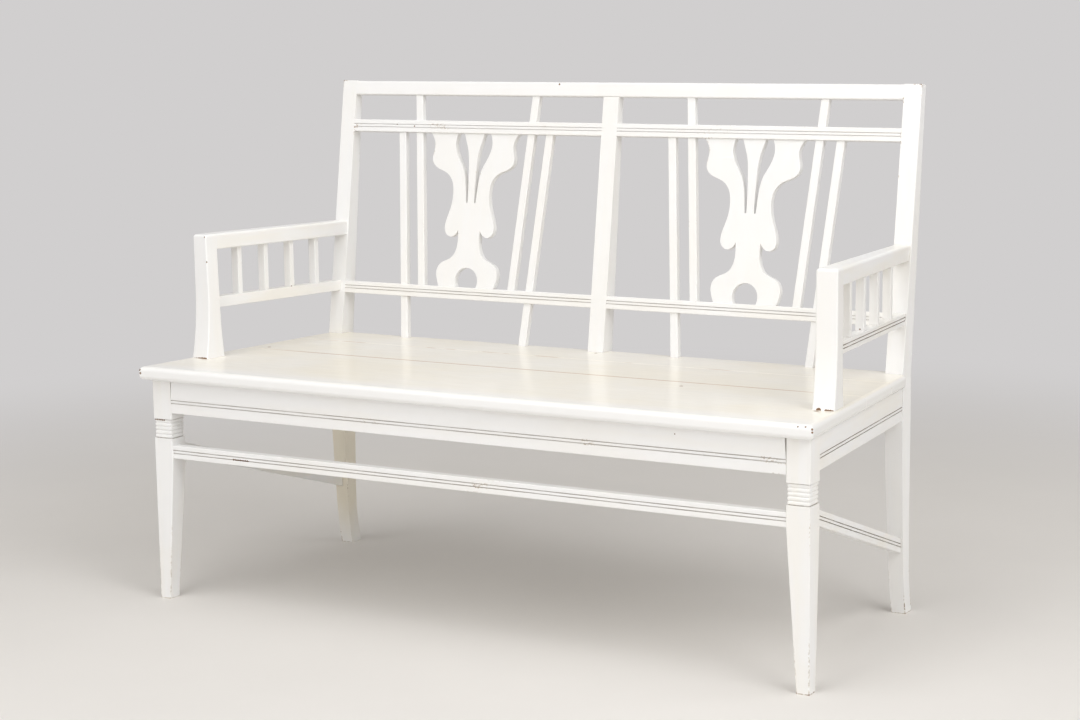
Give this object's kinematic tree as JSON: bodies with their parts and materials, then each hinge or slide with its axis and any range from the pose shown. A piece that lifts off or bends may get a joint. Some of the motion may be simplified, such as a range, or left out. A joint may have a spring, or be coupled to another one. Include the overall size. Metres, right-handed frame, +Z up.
{
  "type": "bench",
  "caption": "Painted wooden bench with open arms, a solid plank seat and a raked back of two bays, each with leaning slats and a fretted splat.",
  "frame": {"origin": "on the floor, under the middle of the bench's bounding box", "axes": "+X along the bench to the sitter's left, -Y to the front, +Z up"},
  "size_m": [1.3606, 0.6196, 0.956],
  "materials": {
    "painted_wood": "satin white paint, lightly worn",
    "bare_wood": "bare"
  },
  "bodies": {
    "root": {"arm_baluster_1_left": "painted_wood", "arm_baluster_1_right": "painted_wood", "arm_baluster_2_left": "painted_wood", "arm_baluster_2_right": "painted_wood", "arm_baluster_3_left": "painted_wood", "arm_baluster_3_right": "painted_wood", "arm_baluster_4_left": "painted_wood", "arm_baluster_4_right": "painted_wood", "arm_lower_rail_left": "painted_wood", "arm_lower_rail_right": "painted_wood", "arm_post_left": "painted_wood", "arm_post_right": "painted_wood", "arm_rest_left": "painted_wood", "arm_rest_right": "painted_wood", "back_post_left": "painted_wood", "back_post_right": "painted_wood", "back_slat_1": "painted_wood", "back_slat_2": "painted_wood", "back_slat_3": "painted_wood", "back_slat_4": "painted_wood", "back_slat_5": "painted_wood", "back_slat_6": "painted_wood", "back_slat_7": "painted_wood", "back_slat_8": "painted_wood", "centre_back_post": "painted_wood", "front_apron": "painted_wood", "front_leg_left": "painted_wood", "front_leg_right": "painted_wood", "front_stretcher": "painted_wood", "lower_cross_rail_left": "painted_wood", "lower_cross_rail_right": "painted_wood", "rear_apron": "painted_wood", "seat_bearer": "painted_wood", "seat_front_board": "painted_wood", "seat_front_dowels": "bare_wood", "seat_middle_board": "painted_wood", "seat_rear_board": "painted_wood", "seat_rear_dowels": "bare_wood", "side_apron_left": "painted_wood", "side_apron_right": "painted_wood", "side_stretcher_left": "painted_wood", "side_stretcher_right": "painted_wood", "splat_left": "painted_wood", "splat_right": "painted_wood", "top_rail": "painted_wood", "upper_cross_rail_left": "painted_wood", "upper_cross_rail_right": "painted_wood"}
  },
  "joints": []
}
